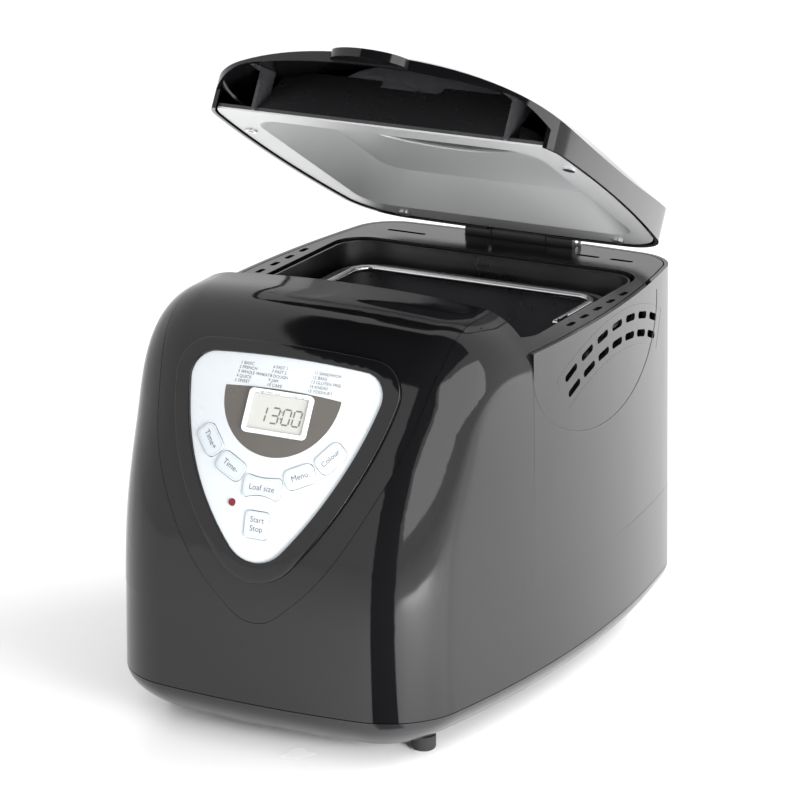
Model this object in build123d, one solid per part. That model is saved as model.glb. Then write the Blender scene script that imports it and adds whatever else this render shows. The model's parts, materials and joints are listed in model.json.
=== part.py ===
from build123d import *
import os
from math import cos, radians, sin, sqrt, tan

# Bread machine. X runs across, +Y to the back, +Z up. The origin is on the floor under the middle of
# the casing. Everything is in millimetres. The lid is modelled shut and then swung to its half-open rest.

# ---- casing -----------------------------------------------------------------------------------
body_width = 238.0  # widest, at the middle of the bulged sides
body_depth = 341.0
floor_gap = 8.5  # height of the tray's underside above the floor
seam_z = 30.0  # seam between tray and casing
knee_z = 80.0  # the front is upright below this and leans back above it
rim_z = 216.0  # top of the frame round the opening
casing_wall = 2.5
side_radius = 755.0  # plan radius of the bulged sides
front_radius = 540.0  # plan radius of the front, and of the hood's crown
rear_radius = 1300.0
shoulder_radius = 48.0  # rounding between the front and the sides, at the seam
hood_shoulder = 38.0  # the same, along the hood
hood_crown_radius = 900.0  # the hood is flatter across than the front
rear_corner_radius = 28.0
side_draft = 3.0  # how far each side leans in between the knee and the rim
tray_inset = 22.0  # how far the tray's underside is set in from the seam
tray_wall = 2.5
seam_gap = 0.3  # visible gap between casing mouldings
fit_gap = 0.15  # gap round pieces that are fixed in a pocket

# ---- front profile, from the knee up and back over the hood ------------------------------------
hood_length = 117.0  # from the front to the back edge of the hood
face_radius = 204.0  # the lower face curves back on this radius
face_lean = 29.0  # degrees from upright, reached at the display
face_flat = 41.3  # straight length above the curve
crest_radius = 52.4

# ---- opening, chamber and pan -------------------------------------------------------------------
rail_depth = 23.0  # from the hood's back edge to the opening
chamber_width = 194.0
chamber_depth = 154.0
chamber_corner = 20.0
chamber_floor_z = 62.0
chamber_wall = 1.2
frame_margin = 2.0  # the frame's hole is this much larger than the chamber, all round
frame_thickness = 3.0
frame_edge = 3.2  # casing lip left outside the frame
frame_slot_length = 9.0
frame_slot_width = 3.4
frame_slot_pitch = 17.6
frame_slot_count = 5
pan_top_width = 172.0
pan_top_depth = 132.0
pan_base_width = 152.0
pan_base_depth = 112.0
pan_corner = 22.0
pan_wall = 1.5
pan_top_z = 203.0
pan_floor_z = 80.0
pan_bead = 2.2  # radius of the rolled edge
socket_radius = 38.0
socket_height = 12.0
socket_wall = 3.0
collar_gap = 0.5

# ---- drive ---------------------------------------------------------------------------------------
shaft_radius = 4.0
running_gap = 0.05
bush_radius = 8.0
chassis_z = 44.0
chassis_thickness = 2.0
pulley_low_z = 18.0
pulley_height = 12.0
large_pulley_radius = 42.0
small_pulley_radius = 9.0
belt_thickness = 2.0
belt_width = 7.0
belt_gap = 0.3
motor_radius = 36.0
motor_height = 78.0
motor_from_front = 62.0
paddle_length = 46.0
paddle_height = 24.0

# ---- control panel --------------------------------------------------------------------------------
panel_tilt = 22.0  # degrees the panel's mean normal points above level
plate_proud = 1.0
plate_depth = 2.5
bezel_proud = 2.6
bezel_side = 10.0
key_proud = 0.8
key_travel = 0.5
key_gap = 0.35
display_width = 40.0
display_height = 25.0
display_z = 189.0
display_border = 2.4
board_back = 15.0  # how far the control board lies behind the plate
bib_low_z = 78.0  # the fascia's lowest point
bib_half = 87.0  # its half width where it runs over the hood
panel_tip = -91.0  # the panel's sharp outline, measured up its face from the display's centre
panel_half = 61.5
panel_top = 28.5
panel_mid = (45.2, -31.0)
mask_radius = 36.0
mask_centre_v = 12.0
key_ring_radius = 49.0
led_place = (-17.3, -51.4)
led_radius = 2.0
board_width = 96.0
board_height = 78.0

# ---- lid -------------------------------------------------------------------------------------------
lid_open = 30.0  # degrees open at rest
lid_side_inset = 5.5  # how far the lid's sides are set in from the widest casing
lid_wall = 2.2
lid_overlap = 26.0  # how far the lid reaches forward over the hood
lid_back_inset = 16.0
lid_gap = 0.8  # between the closed lid and the frame
lid_top_z = 272.0
lid_front_radius = 330.0
lid_corner_radius = 34.0
hood_clearance = 3.0
tab_width = 48.0
tab_reach = 14.0
tab_thickness = 5.0
hinge_inset = 7.0  # the pin's axis, in front of the casing's back
hinge_z = 218.5
knuckle_radius = 6.5
knuckle_length = 18.0
knuckle_gap = 0.6
hinge_pin_radius = 2.0
dish_half_width = 92.0
dish_front_margin = 5.5  # the dish is this much longer than the chamber, in front
dish_back_margin = 7.0
dish_height = 20.0
liner_thickness = 1.0
window_half_width = 58.0
window_half_depth = 34.0
window_shift = -24.5  # the window's centre, from the drive's axis
glass_thickness = 3.0

# ---- screws, feet and bought-in pieces ---------------------------------------------------------------
foot_radius = 7.0
foot_inset_x = 41.0
foot_inset_y = 52.5
screw_head_radius = 3.6
screw_radius = 1.8
element_radius = 3.25
element_inset = 8.5
element_z = 84.0
board_thickness = 1.6

gland_radius = 8.0
gland_x = 70.0
gland_z = 58.0
foot_stem = 3.0
tray_slots = 7
probe_radius = 2.5
probe_z = 112.0
bush_outer = 5.0
element_leads = (-40.0, 40.0)
dog_radius = 11.0
motor_nose_radius = 12.0
pan_bush_radius = 10.0
handle_radius = 2.2
lug_rise = 5.0
lug_inset = 0.9
handle_z = pan_top_z + 0.6
power_width = 110.0
vent_radius = 174.0
vent_row_gap = 10.5
vent_count = 7
vent_step = 7.0
vent_length = 15.0
vent_width = 4.2
vent_shift = 4.5  # the vents' centre, from the drive's axis
vent_z = 206.0
frame_slot_shift = -1.5
frame_slot_inset = 6.5
lid_crease_z = 235.0  # the crown meets the lid's upright sides at this height
lid_crease_inset = 11.0
lid_crown_length = 400.0
lid_crown_shift = 2.0  # the crown's highest line, from the drive's axis
lid_roll = 28.0
front_plate_half = 80.0

# ---- worked out from the sizes above --------------------------------------------------------------------
half_width = body_width / 2
front_y = -body_depth / 2
rear_y = body_depth / 2
hood_edge_y = front_y + hood_length
side_centre_x = half_width - side_radius
widest_y = 13.5
chamber_front_y = hood_edge_y + rail_depth
chamber_rear_y = chamber_front_y + chamber_depth
drive_y = (chamber_front_y + chamber_rear_y) / 2
motor_y = front_y + motor_from_front
lid_width = body_width - 2 * lid_side_inset
lid_front_y = hood_edge_y - lid_overlap
lid_back_y = rear_y - lid_back_inset
hinge_y = rear_y - hinge_inset
dish_front_y = chamber_front_y - dish_front_margin
dish_back_y = chamber_rear_y + dish_back_margin
window_y = drive_y + window_shift
vent_y = drive_y + vent_shift
foot_x = half_width - foot_inset_x
foot_y = rear_y - foot_inset_y
lid_crease_x = half_width - lid_crease_inset
lid_crown_y = drive_y + lid_crown_shift
leaf = radians(face_lean)
hood_angle = radians(panel_tilt)
plate_slope = radians(48.0)
foot_places = [(sx * foot_x, sy * foot_y) for sx in (-1, 1) for sy in (-1, 1)]
screw_places = [(sx * (foot_x - 16.0), sy * (foot_y - 22.0)) for sx in (-1, 1) for sy in (-1, 1)]
liner_screw_places = [(side * (half_width - 17.0), lid_front_y + 69.5) for side in (-1, 1)]
liner_screw_places += [(side * (half_width - 47.5), lid_back_y - 11.0) for side in (-1, 1)]

parts = {}
on_base = (Align.CENTER, Align.CENTER, Align.MIN)  # stands a primitive on its plane


# ================ shared shapes ================
def side_x(y, z=0.0, grow=0.0):
    """Half width of the casing at y and height z."""
    lean = side_draft * max(0.0, z - seam_z) / (rim_z - seam_z)
    radius = side_radius + grow
    return side_centre_x + sqrt(radius**2 - (y - widest_y) ** 2) - lean


def sag(radius, x):
    """How far an arc of this radius has dropped at x from its middle."""
    return radius - sqrt(radius**2 - x**2)


def arc(a, b, c):
    """An arc through three points, or a line where they are in a row."""
    bend = (b[0] - a[0]) * (c[1] - a[1]) - (b[1] - a[1]) * (c[0] - a[0])
    return ThreePointArc(a, b, c) if abs(bend) > 1.0 else Line(a, c)


def mirror_x(p):
    return (-p[0], p[1])


def face_of(edges, corners, radius):
    """A flat face from edges, with the corners nearest to the named points rounded."""
    wire = Wire(edges)
    picked = [min(wire.vertices(), key=lambda v: (Vector(v) - Vector(*c, 0)).length) for c in corners]
    return Face(wire.fillet_2d(radius, picked)) if radius else Face(wire)


def hood_outline(t, reach, y, z, grow, start):
    """Section of the casing's front in a plane through the hood's hinge line, as x and distance."""
    share = min(max(t, 0.0) / 3.0, 1.0)
    crown = front_radius + (hood_crown_radius - front_radius) * share
    shoulder = shoulder_radius + (hood_shoulder - shoulder_radius) * share
    wide = [side_x(hood_edge_y + (y - hood_edge_y) * t, knee_z + (z - knee_z) * t, grow)
            for t in (start / reach, (start / reach + 1) / 2, 1.0)]
    top = reach + grow
    corner = (wide[2], top - sag(crown, wide[2]))
    foot = (wide[0], start)
    middle = (wide[1], (start + corner[1]) / 2)
    edges = [
        Line(mirror_x(foot), foot),
        arc(foot, middle, corner),
        arc(corner, (0, top), mirror_x(corner)),
        arc(mirror_x(corner), mirror_x(middle), mirror_x(foot)),
    ]
    return face_of(edges, [corner, mirror_x(corner)], shoulder + grow)


def profile_point(t):
    """A point on the middle line of the front: t from 0 at the knee to 4 at the hood's back edge."""
    if t < 0:
        return front_y, knee_z + 40.0 * t
    lean_y = front_y + face_radius * (1 - cos(leaf))
    lean_z = knee_z + face_radius * sin(leaf)
    flat_y = lean_y + face_flat * sin(leaf)
    flat_z = lean_z + face_flat * cos(leaf)
    if t <= 1:
        a = leaf * t
        return front_y + face_radius * (1 - cos(a)), knee_z + face_radius * sin(a)
    if t <= 2:
        return lean_y + (flat_y - lean_y) * (t - 1), lean_z + (flat_z - lean_z) * (t - 1)
    turn = radians(90) - leaf
    if t <= 3:
        a = leaf + turn * (t - 2)
        return flat_y + crest_radius * (cos(leaf) - cos(a)), flat_z + crest_radius * (sin(a) - sin(leaf))
    crest_y, crest_z = profile_point(3)
    return crest_y + (hood_edge_y - crest_y) * (t - 3), crest_z


def profile_at(z):
    """The profile's parameter and its lean from upright, in degrees, at height z on the face."""
    low, high = 0.0, 3.0
    for _ in range(40):
        middle = (low + high) / 2
        if profile_point(middle)[1] < z:
            low = middle
        else:
            high = middle
    return low, face_lean * min(low, 1.0)


hood_z = profile_point(3)[1]


def front_block(grow=0.0, start=10.0):
    """The leaning front and hood as one solid, grown outwards by grow."""
    sections = []
    for t in (-0.8, -0.4, 0.0, 0.35, 0.7, 1.0, 1.5, 2.0, 2.4, 2.75, 3.0, 3.5, 4.0):
        y, z = profile_point(t)
        reach = sqrt((y - hood_edge_y) ** 2 + (z - knee_z) ** 2)
        up = Vector(0, (y - hood_edge_y) / reach, (z - knee_z) / reach)
        plane = Plane(origin=(0, hood_edge_y, knee_z), x_dir=(1, 0, 0), z_dir=Vector(1, 0, 0).cross(up))
        sections.append(plane * hood_outline(t, reach, y, z, grow, start))
    above = Pos(0, 0, knee_z) * Box(3 * body_width, 3 * body_depth, 600, align=on_base)
    return loft(sections) & above


def front_skin(prism, outer, inner):
    """The part of a prism between two offsets of the leaning front."""
    return (front_block(outer) & prism) - front_block(inner)


def plan_face(grow=0.0, z=0.0, from_y=None):
    """Bulged plan outline of the casing at height z; from_y cuts it off to keep only the rear."""
    edge_y = rear_y + grow
    rear_x = side_x(edge_y, z, grow)
    rear_corner = (rear_x, edge_y - sag(rear_radius, rear_x))
    if from_y is None:
        start_y = front_y - grow
        start_x = side_x(front_y, z, grow)
        front_corner = (start_x, start_y + sag(front_radius, start_x))
        front = arc(mirror_x(front_corner), (0, start_y), front_corner)
    else:
        front_corner = (side_x(from_y, z, grow), from_y)
        front = Line(mirror_x(front_corner), front_corner)
    side_middle_y = (front_corner[1] + rear_corner[1]) / 2
    side_middle = (side_x(side_middle_y, z, grow), side_middle_y)
    edges = [
        front,
        arc(front_corner, side_middle, rear_corner),
        arc(rear_corner, (0, edge_y), mirror_x(rear_corner)),
        arc(mirror_x(rear_corner), mirror_x(side_middle), mirror_x(front_corner)),
    ]
    face = face_of(edges, [rear_corner, mirror_x(rear_corner)], rear_corner_radius + grow)
    if from_y is None:
        picked = [min(face.vertices(), key=lambda v: (Vector(v) - Vector(*c, 0)).length)
                  for c in (front_corner, mirror_x(front_corner))]
        face = Face(face.outer_wire().fillet_2d(shoulder_radius + grow, picked))
    return Pos(0, 0, z) * face


def casing_block(grow=0.0, top=rim_z, bottom=seam_z):
    """The whole casing as a solid: lower part, rear part and leaning front."""
    start = 10.0 + grow
    lower = loft([plan_face(grow, bottom), plan_face(grow, knee_z)])
    rear = loft([plan_face(grow, knee_z, hood_edge_y), plan_face(grow, top, hood_edge_y)])
    reach = start + 2
    around = loft([plan_face(grow, knee_z, hood_edge_y - reach), plan_face(grow, top, hood_edge_y - reach)])
    around &= Pos(0, hood_edge_y, knee_z) * Box(
        3 * body_width, reach, reach, align=(Align.CENTER, Align.MAX, Align.MIN))
    return lower + rear + front_block(grow, start) + around


def rounded_box(width, depth, height, corner, z, y=0.0, x=0.0):
    """An upright block with rounded vertical edges, standing on z."""
    outline = Pos(x, y, z) * RectangleRounded(width, depth, corner)
    return extrude(outline, height)


def post(radius, low, high, x=0.0, y=0.0):
    """An upright cylinder between two heights."""
    return Pos(x, y, low) * Cylinder(radius, high - low, align=on_base)


def box_between(low, high):
    """A box from its lowest to its highest corner."""
    size = [b - a for a, b in zip(low, high)]
    return Pos(*low) * Box(*size, align=(Align.MIN, Align.MIN, Align.MIN))


# ================ casing mouldings ================
def bib_prism(grow=0.0):
    """Everything inside the fascia's outline, seen from the front: wide above, pointed below."""
    rise = hood_z - bib_low_z
    shares = (0.05, 0.14, 0.28, 0.45, 0.65, 0.85, 1.0)
    side = [(bib_half * sin(radians(90) * s) ** 0.62 + grow, bib_low_z + s * rise) for s in shares]
    tip = (0, bib_low_z - grow)
    right = Spline([tip, *side], tangents=[(1, 0), (0.03, 1)])
    left = Spline([tip, *[mirror_x(p) for p in side]], tangents=[(-1, 0), (-0.03, 1)])
    corner = (side[-1][0], hood_z + 30)
    edges = [
        right,
        Line(side[-1], corner),
        Line(corner, mirror_x(corner)),
        Line(mirror_x(corner), mirror_x(side[-1])),
        left,
    ]
    plane = Plane(origin=(0, front_y - 20, 0), x_dir=(1, 0, 0), z_dir=(0, -1, 0))
    return extrude(plane * Face(Wire(edges)), -(hood_length + 21))


def face_plane(x, v):
    """Plane on the casing's face, x across and v up the panel from the display's centre, facing out."""
    low, high = 0.0, 2.6
    for _ in range(40):
        middle = (low + high) / 2
        y, z = profile_point(middle)
        if (z - display_z) * cos(hood_angle) + (y - display_y) * sin(hood_angle) < v:
            low = middle
        else:
            high = middle
    y, z = profile_point(low)
    lean = leaf * min(low, 1.0)
    normal = Vector(0, -cos(lean), sin(lean))
    back = sag(front_radius, x)
    return Plane(origin=Vector(x, y, z) - normal * back, x_dir=(1, 0, 0), z_dir=normal)


display_y = profile_point(profile_at(display_z)[0])[0]
panel_facing = (0, -cos(hood_angle), sin(hood_angle))
panel_plane = Plane(origin=(0, display_y, display_z), x_dir=(1, 0, 0), z_dir=panel_facing)


def through_panel(face, reach=30.0):
    """Prism square to the panel, through a face drawn on it."""
    return extrude(panel_plane * face, reach, both=True)


def pick_face(grow_side, grow_tip, grow_top, tip_radius, corner_radius):
    """The panel's outline: a triangle with bulged sides, a blunt tip and round shoulders."""
    tip = (0, panel_tip - grow_tip)
    corner = (panel_half + grow_side, panel_top + grow_top)
    middle = (panel_mid[0] + 0.85 * grow_side, panel_mid[1] - 0.5 * grow_side)
    crown = (0, corner[1] + 3.0)
    edges = [
        arc(tip, middle, corner),
        arc(corner, crown, mirror_x(corner)),
        arc(mirror_x(corner), mirror_x(middle), tip),
    ]
    face = face_of(edges, [corner, mirror_x(corner)], corner_radius)
    point = min(face.vertices(), key=lambda p: (Vector(p) - Vector(*tip, 0)).length)
    return Face(face.outer_wire().fillet_2d(tip_radius, [point]))


def panel_outline(grow=0.0):
    return pick_face(grow, grow * 1.4, grow, 22.0 + grow, 14.0 + grow)


def mask_face(grow=0.0):
    """Half disc round the display."""
    half = mask_radius + grow
    edges = [
        arc((-half, mask_centre_v), (0, mask_centre_v - half), (half, mask_centre_v)),
        arc((half, mask_centre_v), (0, mask_centre_v + 1.5 + grow), (-half, mask_centre_v)),
    ]
    return Face(Wire(edges))


def ring_key(angle, grow=0.0):
    """A rounded key on the ring round the mask, at an angle measured from straight down."""
    a = radians(angle)
    place = Pos(key_ring_radius * sin(a), mask_centre_v - key_ring_radius * cos(a))
    return place * Rot(0, 0, angle) * RectangleRounded(18 + 2 * grow, 11.5 + 2 * grow, 3.8 + grow)


def loaf_key(grow=0.0):
    """Bow-tie key with hollow long sides."""
    half, top, low = 11.5 + grow, -34.0 + grow, -48.5 - grow
    edges = [
        Line((half, low), (half, top)),
        arc((half, top), (0, top - 1.8), (-half, top)),
        Line((-half, top), (-half, low)),
        arc((-half, low), (0, low + 3.2), (half, low)),
    ]
    return face_of(edges, [(half, low), (half, top), (-half, low), (-half, top)], 2.4 + grow)


def start_key(grow=0.0):
    return Pos(0, -61.5) * RectangleRounded(14.5 + 2 * grow, 15 + 2 * grow, 2.6 + grow)


key_faces = {
    "time_up_key": (lambda g: ring_key(-50, g), (-37.5, -19.5)),
    "time_down_key": (lambda g: ring_key(-26, g), (-21.5, -32.0)),
    "loaf_size_key": (loaf_key, (0, -41)),
    "menu_key": (lambda g: ring_key(26, g), (21.5, -32.0)),
    "crust_key": (lambda g: ring_key(50, g), (37.5, -19.5)),
    "start_stop_key": (start_key, (0, -61.5)),
}


def along_normal(face, x, v, reach=14.0):
    """Prism along the face's own normal at x, v, through a face drawn on the panel."""
    local = face_plane(x, v)
    flat = Plane(origin=local.origin, x_dir=(1, 0, 0), z_dir=local.z_dir)
    moved = Pos(-x, -v) * face
    return extrude(flat * moved, reach, both=True)


# ================ lid shapes, in the shut position ================
def lid_top(y):
    """Height of the lid's crown along its middle, rolled over at the back."""
    crown_z = lid_top_z - sag(lid_crown_length, y - lid_crown_y)
    roll_y = lid_back_y - lid_roll
    if y <= roll_y:
        return crown_z
    return crown_z - sag(lid_roll, min(y - roll_y, lid_roll * 0.97))


def lid_block(grow=0.0, bottom=0.0):
    """The lid as a solid, from bottom up to its crown, grown outwards by grow."""
    over = half_width + 16
    low = seam_z
    sections = []
    stations = [lid_front_y - 12, lid_front_y + 30, 0.0, lid_crown_y, lid_back_y - 50]
    stations += [lid_back_y - lid_roll * s for s in (1.0, 0.7, 0.45, 0.25, 0.1)] + [lid_back_y + 4]
    for y in stations:
        top = lid_top(y) + grow
        rise = max(top - grow - lid_crease_z, 4.0)
        crown = (rise**2 + lid_crease_x**2) / (2 * rise)
        side = top - sag(crown, over)
        outline = Face(Wire([
            arc((-over, side), (0, top), (over, side)),
            Line((over, side), (over, low)),
            Line((over, low), (-over, low)),
            Line((-over, low), (-over, side)),
        ]))
        sections.append(Plane(origin=(0, y, 0), x_dir=(1, 0, 0), z_dir=(0, -1, 0)) * outline)
    crown = loft(sections)
    return crown & extrude(Pos(0, 0, bottom) * lid_plan(grow), lid_top_z + 20 - bottom)


def lid_plan(grow=0.0):
    """Plan outline of the lid."""
    half = lid_width / 2
    centre_x = half - side_radius
    radius = side_radius + grow

    def edge_x(y):
        return centre_x + sqrt(radius**2 - (y - widest_y) ** 2)

    back_x = edge_x(lid_back_y)
    back = (back_x, lid_back_y + grow - sag(rear_radius, back_x))
    front_x = edge_x(lid_front_y + 14)
    front = (front_x, lid_front_y - grow + sag(lid_front_radius, front_x))
    middle = (edge_x((front[1] + back[1]) / 2), (front[1] + back[1]) / 2)
    edges = [
        arc(mirror_x(front), (0, lid_front_y - grow), front),
        arc(front, middle, back),
        arc(back, (0, lid_back_y + grow), mirror_x(back)),
        arc(mirror_x(back), mirror_x(middle), mirror_x(front)),
    ]
    return face_of(edges, [front, mirror_x(front), back, mirror_x(back)], lid_corner_radius + grow)


def swing(shape):
    """Turns a lid piece from shut to its half-open rest."""
    return shape.rotate(Axis((0, hinge_y, hinge_z), (1, 0, 0)), -lid_open)


# ================ casing ================
casing_inner = casing_block(-casing_wall, rim_z + 5, seam_z - 5)
casing_outer = casing_block()
casing = casing_outer - casing_inner
bib = bib_prism()


def vent_slots(side):
    """Two curved rows of slots through one side wall."""
    cuts = []
    for radius in (vent_radius, vent_radius - vent_row_gap):
        for i in range(vent_count):
            turn = (i - (vent_count - 1) / 2) * vent_step
            a = radians(turn)
            place = Pos(side * half_width, vent_y + radius * sin(a), vent_z - vent_radius + radius * cos(a))
            slot = SlotOverall(vent_length, vent_width)
            plane = Plane(origin=place.position, x_dir=(0, cos(a), -sin(a)), z_dir=(1, 0, 0))
            cuts.append(extrude(plane * slot, 14, both=True))
    return cuts


def make_outer_shell():
    shell = casing - bib_prism(seam_gap)
    for side in (-1, 1):
        for cut in vent_slots(side):
            shell -= cut
    frame_seat = extrude(plan_face(-frame_edge, rim_z - frame_thickness - fit_gap, hood_edge_y), 20)
    shell -= frame_seat
    gland_hole = Plane(origin=(gland_x, rear_y + 5, gland_z), x_dir=(1, 0, 0), z_dir=(0, -1, 0))
    shell -= extrude(gland_hole * Circle(gland_radius + fit_gap), 20)
    return shell - hinge_pocket()


def make_front_fascia():
    return (casing & bib) - through_panel(panel_outline(fit_gap))


def make_base_tray():
    levels = (
        (seam_z - 2 * seam_gap, 0.2),
        (seam_z - 6, 2.0),
        (seam_z - 12, 7.2),
        (seam_z - 17, 14.0),
        (floor_gap, tray_inset + 1),
    )

    def tub(shrink, lift):
        return loft([plan_face(-inset - shrink, z + lift * (i > 0)) for i, (z, inset) in enumerate(levels)])

    cavity = tub(tray_wall, tray_wall) + extrude(plan_face(-tray_wall - 0.2, seam_z - 2 * seam_gap), 5)
    tray = tub(0, 0) - cavity
    for x, y in foot_places:
        tray -= post(foot_stem, 0, floor_gap + tray_wall + 8, x, y)
    for i in range(tray_slots):
        x = (i - (tray_slots - 1) / 2) * 11.0
        tray -= extrude(Pos(x, drive_y, 0) * Rot(0, 0, 90) * SlotOverall(44, 4.5), floor_gap + 6)
    for x, y in screw_places:
        tray -= post(screw_radius + fit_gap, 0, seam_z, x, y)
        tray += post(screw_radius + 2.4, floor_gap + 1, chassis_z, x, y)
        tray -= post(screw_radius + fit_gap, 0, chassis_z, x, y)
    return tray


def make_feet():
    feet = []
    for x, y in foot_places:
        foot = post(foot_radius, 0, floor_gap, x, y)
        foot = fillet(foot.edges().group_by(Axis.Z)[0], 2.0)
        feet.append(foot + post(foot_stem - fit_gap, floor_gap - 1, floor_gap + tray_wall + 1.5, x, y))
    return Compound(children=feet)


def make_chassis():
    plate = extrude(plan_face(-casing_wall - 3.0, chassis_z), chassis_thickness)
    plate -= post(bush_radius, 0, 100, 0, drive_y)
    plate -= post(motor_nose_radius + fit_gap, 0, 100, 0, motor_y)
    for x, y in screw_places:
        plate -= post(screw_radius + fit_gap, 0, 100, x, y)
    return plate


def make_case_screws():
    screws = []
    for x, y in screw_places:
        low = floor_gap
        head = post(screw_head_radius, low - 2.2, low, x, y) - Pos(x, y, low - 2.2) * Box(5, 1, 1.6)
        screws.append(head + post(screw_radius, low - 0.5, chassis_z + chassis_thickness + 3, x, y))
    return Compound(children=screws)


# ================ opening frame and chamber ================
def make_rim_frame():
    low = rim_z - frame_thickness
    plate = extrude(plan_face(-frame_edge - fit_gap, low, hood_edge_y), frame_thickness)
    wall_low = chamber_floor_z + 140
    nose = box_between((-half_width, hood_edge_y - 2.6, wall_low), (half_width, hood_edge_y, hood_z + 10))
    plate += nose & casing_block(-casing_wall - fit_gap, rim_z, seam_z)
    hole_width = chamber_width + 2 * frame_margin
    hole_depth = chamber_depth + 2 * frame_margin
    lip = rounded_box(hole_width + 4, hole_depth + 4, 8, chamber_corner + 2, low - 7, drive_y)
    plate += lip
    plate -= rounded_box(hole_width, hole_depth, 60, chamber_corner, low - 20, drive_y)
    for side in (-1, 1):
        for i in range(frame_slot_count):
            y = drive_y + (i - (frame_slot_count - 1) / 2) * frame_slot_pitch + frame_slot_shift
            x = side * (hole_width / 2 + frame_slot_inset)
            slot = Rot(0, 0, 90) * SlotOverall(frame_slot_length, frame_slot_width)
            plate -= extrude(Pos(x, y, low - 1) * slot, 10)
    for x, length in ((-70, 26.0), (52, 15.0), (74, 15.0)):
        plate -= extrude(Pos(x, chamber_rear_y + 22, low - 1) * SlotOverall(length, frame_slot_width), 10)
    return plate - hinge_pocket()


def make_chamber():
    height = rim_z - 1.5 - chamber_floor_z
    box = rounded_box(chamber_width, chamber_depth, height, chamber_corner, chamber_floor_z, drive_y)
    box -= rounded_box(chamber_width - 2 * chamber_wall, chamber_depth - 2 * chamber_wall, height,
                       chamber_corner - chamber_wall, chamber_floor_z + chamber_wall, drive_y)
    box -= post(bush_radius + fit_gap, chamber_floor_z - 1, chamber_floor_z + 5, 0, drive_y)
    for x in element_leads:
        box -= along_y(bush_outer + fit_gap, chamber_front_y - 5, chamber_front_y + 5, x, element_z)
    box -= along_y(probe_radius + fit_gap, chamber_front_y - 5, chamber_front_y + 5, 0, probe_z)
    return box


def along_y(radius, from_y, to_y, x, z):
    """A level cylinder that runs front to back."""
    plane = Plane(origin=(x, from_y, z), x_dir=(1, 0, 0), z_dir=(0, 1, 0))
    return extrude(plane * Circle(radius), to_y - from_y)


def make_element():
    half = chamber_width / 2 - element_inset
    front, back = chamber_front_y + element_inset, chamber_rear_y - element_inset
    left, right = element_leads
    path = FilletPolyline(
        (left, chamber_front_y - 16, element_z), (left, front, element_z), (-half, front, element_z),
        (-half, back, element_z), (half, back, element_z), (half, front, element_z),
        (right, front, element_z), (right, chamber_front_y - 16, element_z),
        radius=[5.0, 14, 14, 14, 14, 5.0])
    start = Plane(origin=path @ 0, z_dir=path % 0)
    return sweep(start * Circle(element_radius), path=path)


def make_element_bushes():
    bushes = []
    for x in element_leads:
        tube = along_y(bush_outer, chamber_front_y - 6, chamber_front_y + 3, x, element_z)
        collar = along_y(bush_outer + 2, chamber_front_y - 6, chamber_front_y - 0.5, x, element_z)
        bushes.append(tube + collar - along_y(element_radius + fit_gap, front_y, rear_y, x, element_z))
    return Compound(children=bushes)


def make_probe():
    stem = along_y(probe_radius, chamber_front_y - 10, chamber_front_y + 7, 0, probe_z)
    return stem + along_y(probe_radius + 3, chamber_front_y - 10, chamber_front_y - 0.5, 0, probe_z)


def make_stands():
    stands = []
    for sx in (-1, 1):
        for sy in (-1, 1):
            x, y = sx * (chamber_width / 2 - 24), drive_y + sy * (chamber_depth / 2 - 24)
            stands.append(post(5, chassis_z + chassis_thickness, chamber_floor_z, x, y))
    return Compound(children=stands)


def make_socket():
    low = chamber_floor_z + chamber_wall
    ring = post(socket_radius, low, low + socket_height, 0, drive_y)
    ring -= post(socket_radius - socket_wall, low - 1, low + socket_height + 1, 0, drive_y)
    flange = post(socket_radius + 5, low, low + 1.5, 0, drive_y)
    flange -= post(socket_radius - 1, low - 1, low + 3, 0, drive_y)
    return ring + flange


# ================ drive ================
def pulley(radius, x, y, spokes):
    """A flat-belt pulley with two flanges."""
    low, high = pulley_low_z, pulley_low_z + pulley_height
    body = post(radius, low, high, x, y)
    body += post(radius + 3, low, low + 1.8, x, y)
    body += post(radius + 3, high - 1.8, high, x, y)
    for i in range(spokes):
        a = 2 * 3.14159265 * i / spokes
        middle = (radius + shaft_radius + 3) / 2
        hole_x = x + middle * cos(a)
        hole_y = y + middle * sin(a)
        body -= post((radius - shaft_radius) / 5, low - 1, high + 1, hole_x, hole_y)
    return body - post(shaft_radius, low - 1, high + 1, x, y)


def make_belt():
    low = pulley_low_z + (pulley_height - belt_width) / 2

    def loop(extra):
        wheels = [(large_pulley_radius + extra, drive_y), (small_pulley_radius + extra, motor_y)]
        span = wheels[0][1] - wheels[1][1]
        tilt = (wheels[0][0] - wheels[1][0]) / span
        lean = sqrt(1 - tilt**2)
        (r1, y1), (r2, y2) = wheels
        a, b = (r1 * lean, y1 - r1 * tilt), (r2 * lean, y2 - r2 * tilt)
        return Face(Wire([
            Line(b, a),
            arc(a, (0, y1 + r1), mirror_x(a)),
            Line(mirror_x(a), mirror_x(b)),
            arc(mirror_x(b), (0, y2 - r2), b),
        ]))

    outer = extrude(Pos(0, 0, low) * loop(belt_gap + belt_thickness), belt_width)
    return outer - extrude(Pos(0, 0, low) * loop(belt_gap), belt_width)


def make_drive_shaft():
    top = chamber_floor_z + chamber_wall + 3
    return post(shaft_radius, pulley_low_z - 1.5, top, 0, drive_y)


def make_bush():
    low, high = chassis_z - 6, chamber_floor_z + chamber_wall
    bush = post(bush_radius, low, high, 0, drive_y)
    bush += post(bush_radius + 4, chassis_z + chassis_thickness, chassis_z + 6, 0, drive_y)
    return bush - post(shaft_radius + running_gap, low - 1, high + 1, 0, drive_y)


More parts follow.
